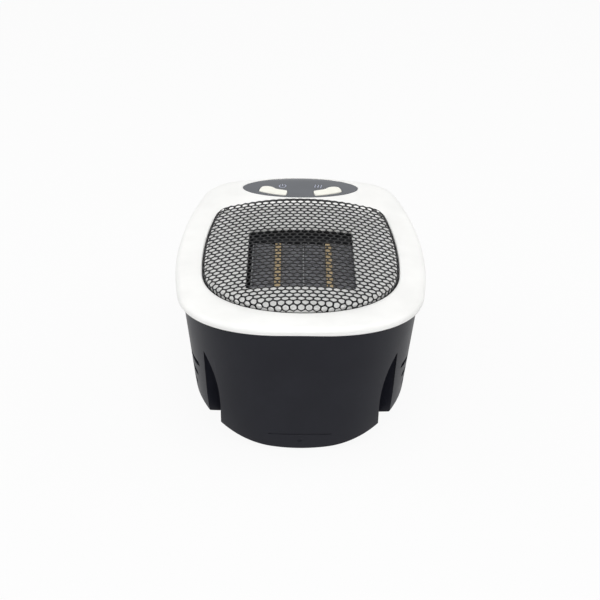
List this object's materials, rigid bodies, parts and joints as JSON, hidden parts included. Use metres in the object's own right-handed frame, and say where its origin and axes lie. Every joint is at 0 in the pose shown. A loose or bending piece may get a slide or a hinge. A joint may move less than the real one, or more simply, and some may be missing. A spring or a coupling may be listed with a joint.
{
  "type": "ceramic space heater",
  "caption": "Small ceramic fan heater lying on its back: rounded white bezel, black honeycomb grille, dark lens-shaped control panel with buttons, dark tapered rear shell.",
  "frame": {"origin": "middle of the bounding box in X and Y, on the plane of the flat rim that the heater lies on", "axes": "+X across the face to the right, +Y along the face toward the control panel, +Z out of the grille"},
  "size_m": [0.1358, 0.1798, 0.0821],
  "materials": {
    "white_plastic": "satin moulded",
    "black_plastic": "fine satin moulded",
    "panel_gloss": "glossy, smoke tinted",
    "button_ivory": "soft gloss",
    "black_mesh": "black satin paint",
    "ceramic_beige": "bare fired ceramic",
    "dark_fin": "dark coated",
    "bare_aluminium": "bare rolled",
    "heat_plastic": "glass filled, matt",
    "board_green": "lacquered circuit board",
    "steel": "zinc plated",
    "brass": "bare",
    "component_blue": "moulded",
    "component_yellow": "moulded and taped",
    "lamp_clear": "clear lens"
  },
  "bodies": {
    "housing": {"front_bezel": "white_plastic", "outlet_deck": "white_plastic", "control_panel": "panel_gloss", "switch_power": "heat_plastic", "switch_mode": "heat_plastic", "lamp_power": "lamp_clear", "lamp_mode": "lamp_clear", "board_screw_power": "steel", "board_screw_mode": "steel", "control_board": "board_green", "mesh_grille": "black_mesh", "fin_pack_outer_left": "dark_fin", "fin_pack_inner_left": "dark_fin", "fin_pack_inner_right": "dark_fin", "fin_pack_outer_right": "dark_fin", "ceramic_stone_left": "ceramic_beige", "core_plate_left": "bare_aluminium", "heater_terminal_left": "brass", "ceramic_stone_right": "ceramic_beige", "core_plate_right": "bare_aluminium", "heater_terminal_right": "brass", "core_divider": "bare_aluminium", "core_cap_near": "heat_plastic", "core_cap_far": "heat_plastic", "fan_duct": "heat_plastic", "duct_screw_1": "steel", "duct_screw_2": "steel", "duct_screw_3": "steel", "duct_screw_4": "steel", "motor_bracket": "heat_plastic", "fan_motor": "steel", "rear_shell": "black_plastic", "case_screw_left": "steel", "case_screw_right": "steel", "rear_guard": "black_plastic", "inlet_pin_left": "brass", "inlet_pin_right": "brass", "power_inlet": "heat_plastic", "power_board": "board_green", "power_screw_1": "steel", "power_screw_2": "steel", "power_screw_3": "steel", "power_screw_4": "steel", "relay": "component_blue", "terminal_block": "component_blue", "filter_capacitor": "component_yellow", "transformer": "component_yellow", "smoothing_capacitor": "component_blue", "thermostat": "steel", "thermal_fuse": "bare_aluminium", "tilt_switch": "heat_plastic"},
    "fan_rotor": {"fan_rotor": "black_plastic", "motor_shaft": "steel"},
    "button_power": {"button_power": "button_ivory", "switch_plunger_power": "bare_aluminium"},
    "button_mode": {"button_mode": "button_ivory", "switch_plunger_mode": "bare_aluminium"}
  },
  "joints": [
    {"name": "fan_spin", "type": "hinge", "parent": "housing", "child": "fan_rotor", "pos_m": [0, -0.013, 0.033], "axis": [0, 0, 1], "continuous": true},
    {"name": "button_power_press", "type": "slide", "parent": "housing", "child": "button_power", "axis": [0, 0, -1], "range_m": [0, 0.0006], "stiffness_N_per_m": 400},
    {"name": "button_mode_press", "type": "slide", "parent": "housing", "child": "button_mode", "axis": [0, 0, -1], "range_m": [0, 0.0006], "stiffness_N_per_m": 400}
  ]
}
